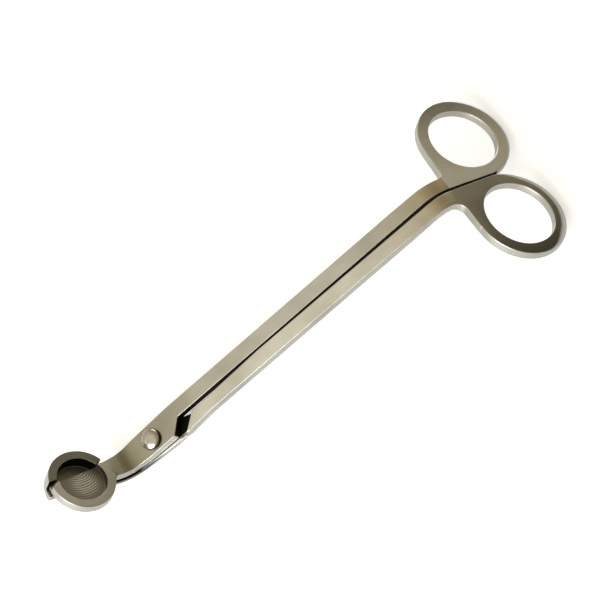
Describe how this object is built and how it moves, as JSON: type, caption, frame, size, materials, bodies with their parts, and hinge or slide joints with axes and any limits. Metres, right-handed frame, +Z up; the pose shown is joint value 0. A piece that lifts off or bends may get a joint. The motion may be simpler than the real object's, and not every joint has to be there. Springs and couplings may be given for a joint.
{
  "type": "wick trimmer",
  "caption": "Steel candle wick trimmer: scissor halves with finger rings and a shallow cup that cuts and catches a wick, joined by a domed rivet.",
  "frame": {"origin": "middle of the closed tool's footprint, on the surface it lies on, resting on the neck's underside and the ends of both finger rings", "axes": "+X runs from the cup to the finger rings, +Y is the side of the upper half's finger ring, +Z is up. The rivet's axis leans 8.44 degrees towards -X, because the shank rises towards the rings."},
  "size_m": [0.1806, 0.0624, 0.0236],
  "materials": {
    "brushed_steel": "satin",
    "polished_steel": "polished"
  },
  "bodies": {
    "lower_half": {"lower_half": "brushed_steel", "pivot_rivet": "polished_steel"},
    "upper_half": {"upper_half": "brushed_steel"}
  },
  "joints": [
    {"name": "blade_pivot", "type": "hinge", "parent": "lower_half", "child": "upper_half", "pos_m": [-0.05523, 0.0004, 0.00651], "axis": [-0.1468, 0, 0.9892], "range_deg": [0, 60]}
  ]
}
